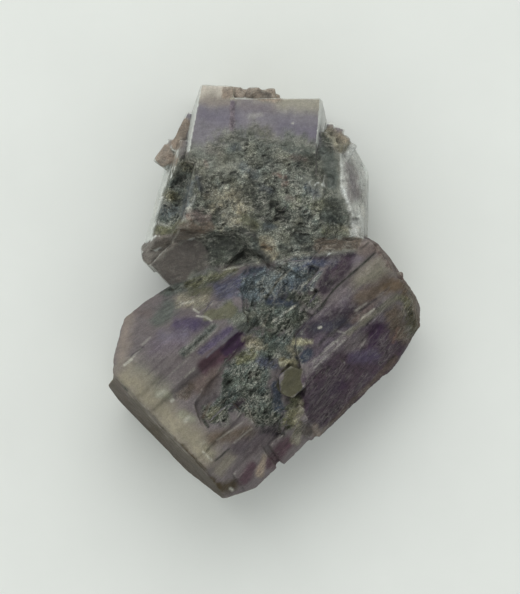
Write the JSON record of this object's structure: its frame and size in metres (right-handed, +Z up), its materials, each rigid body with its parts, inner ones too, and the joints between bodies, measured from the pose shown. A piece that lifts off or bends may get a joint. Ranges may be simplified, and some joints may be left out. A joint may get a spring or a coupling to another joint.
{
  "type": "aragonite crystal cluster",
  "caption": "Cluster of stout six-sided aragonite crystals grown into each other at an angle, with flat faces, flat ends and rough grainy hollows.",
  "frame": {"origin": "on the flat underside, near the middle of the cluster seen from above", "axes": "+Z up, away from the surface it rests on; +Y along the upper crystal's axis, towards its free end; +X towards the flat end of the lower crystal that is nearer the upper one"},
  "size_m": [0.0475, 0.0613, 0.0271],
  "materials": {
    "aragonite": "satin natural crystal faces, lilac and purple grading to tan at the ends, with rough grey-green matrix in the hollows"
  },
  "bodies": {
    "root": {"aragonite_cluster": "aragonite"}
  },
  "joints": []
}
